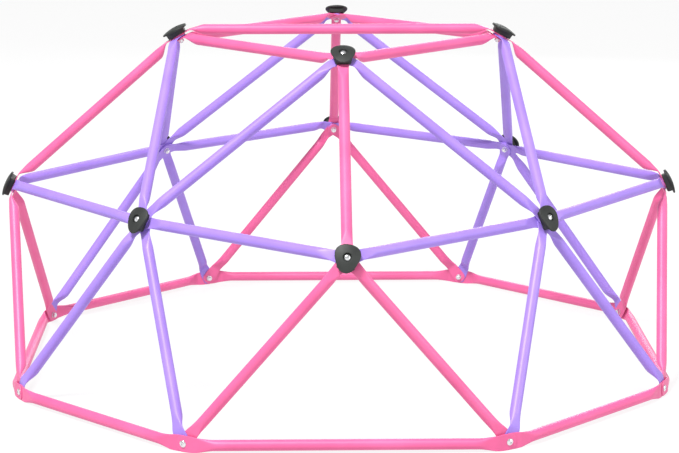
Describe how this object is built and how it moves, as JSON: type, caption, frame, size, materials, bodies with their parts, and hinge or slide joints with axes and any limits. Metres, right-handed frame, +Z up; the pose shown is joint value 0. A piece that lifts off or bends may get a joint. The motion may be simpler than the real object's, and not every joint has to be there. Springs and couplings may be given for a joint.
{
  "type": "dome climber",
  "caption": "Low geodesic climbing dome of pink and lavender steel tubes with flattened ends, bolted together at hubs under dark plastic caps.",
  "frame": {"origin": "on the ground under the middle of the dome", "axes": "+Z up; the front side, with a long ground tube, faces -Y, and the top cross bar runs along X"},
  "size_m": [1.809, 1.809, 0.9149],
  "materials": {
    "pink_paint": "glossy pink powder coat",
    "lavender_paint": "glossy lavender powder coat",
    "black_plastic": "fine-grained moulded plastic",
    "zinc_steel": "bright zinc plating"
  },
  "bodies": {
    "root": {"ground_tube_front": "pink_paint", "ground_tube_front_right": "pink_paint", "top_ring_front_right": "pink_paint", "roof_strut_front": "pink_paint", "side_leg_front_to_right": "pink_paint", "corner_leg_front_to_right": "lavender_paint", "middle_ring_front_to_right": "lavender_paint", "roof_strut_front_to_right": "lavender_paint", "side_leg_front_to_left": "pink_paint", "corner_leg_front_to_left": "lavender_paint", "middle_ring_front_to_left": "lavender_paint", "roof_strut_front_to_left": "lavender_paint", "ground_tube_right": "pink_paint", "ground_tube_back_right": "pink_paint", "top_ring_back_right": "pink_paint", "roof_strut_right": "pink_paint", "side_leg_right_to_back": "pink_paint", "corner_leg_right_to_back": "lavender_paint", "middle_ring_right_to_back": "lavender_paint", "roof_strut_right_to_back": "lavender_paint", "side_leg_right_to_front": "pink_paint", "corner_leg_right_to_front": "lavender_paint", "middle_ring_right_to_front": "lavender_paint", "roof_strut_right_to_front": "lavender_paint", "ground_tube_back": "pink_paint", "ground_tube_back_left": "pink_paint", "top_ring_back_left": "pink_paint", "roof_strut_back": "pink_paint", "side_leg_back_to_left": "pink_paint", "corner_leg_back_to_left": "lavender_paint", "middle_ring_back_to_left": "lavender_paint", "roof_strut_back_to_left": "lavender_paint", "side_leg_back_to_right": "pink_paint", "corner_leg_back_to_right": "lavender_paint", "middle_ring_back_to_right": "lavender_paint", "roof_strut_back_to_right": "lavender_paint", "ground_tube_left": "pink_paint", "ground_tube_front_left": "pink_paint", "top_ring_front_left": "pink_paint", "roof_strut_left": "pink_paint", "side_leg_left_to_front": "pink_paint", "corner_leg_left_to_front": "lavender_paint", "middle_ring_left_to_front": "lavender_paint", "roof_strut_left_to_front": "lavender_paint", "side_leg_left_to_back": "pink_paint", "corner_leg_left_to_back": "lavender_paint", "middle_ring_left_to_back": "lavender_paint", "roof_strut_left_to_back": "lavender_paint", "top_cross_bar": "pink_paint", "top_hub_caps": "black_plastic", "side_hub_caps": "black_plastic", "corner_hub_caps": "black_plastic", "top_hub_bolts": "zinc_steel", "side_hub_bolts": "zinc_steel", "corner_hub_bolts": "zinc_steel", "ground_hub_bolts": "zinc_steel", "hub_washers": "zinc_steel", "hub_nuts": "zinc_steel"}
  },
  "joints": []
}
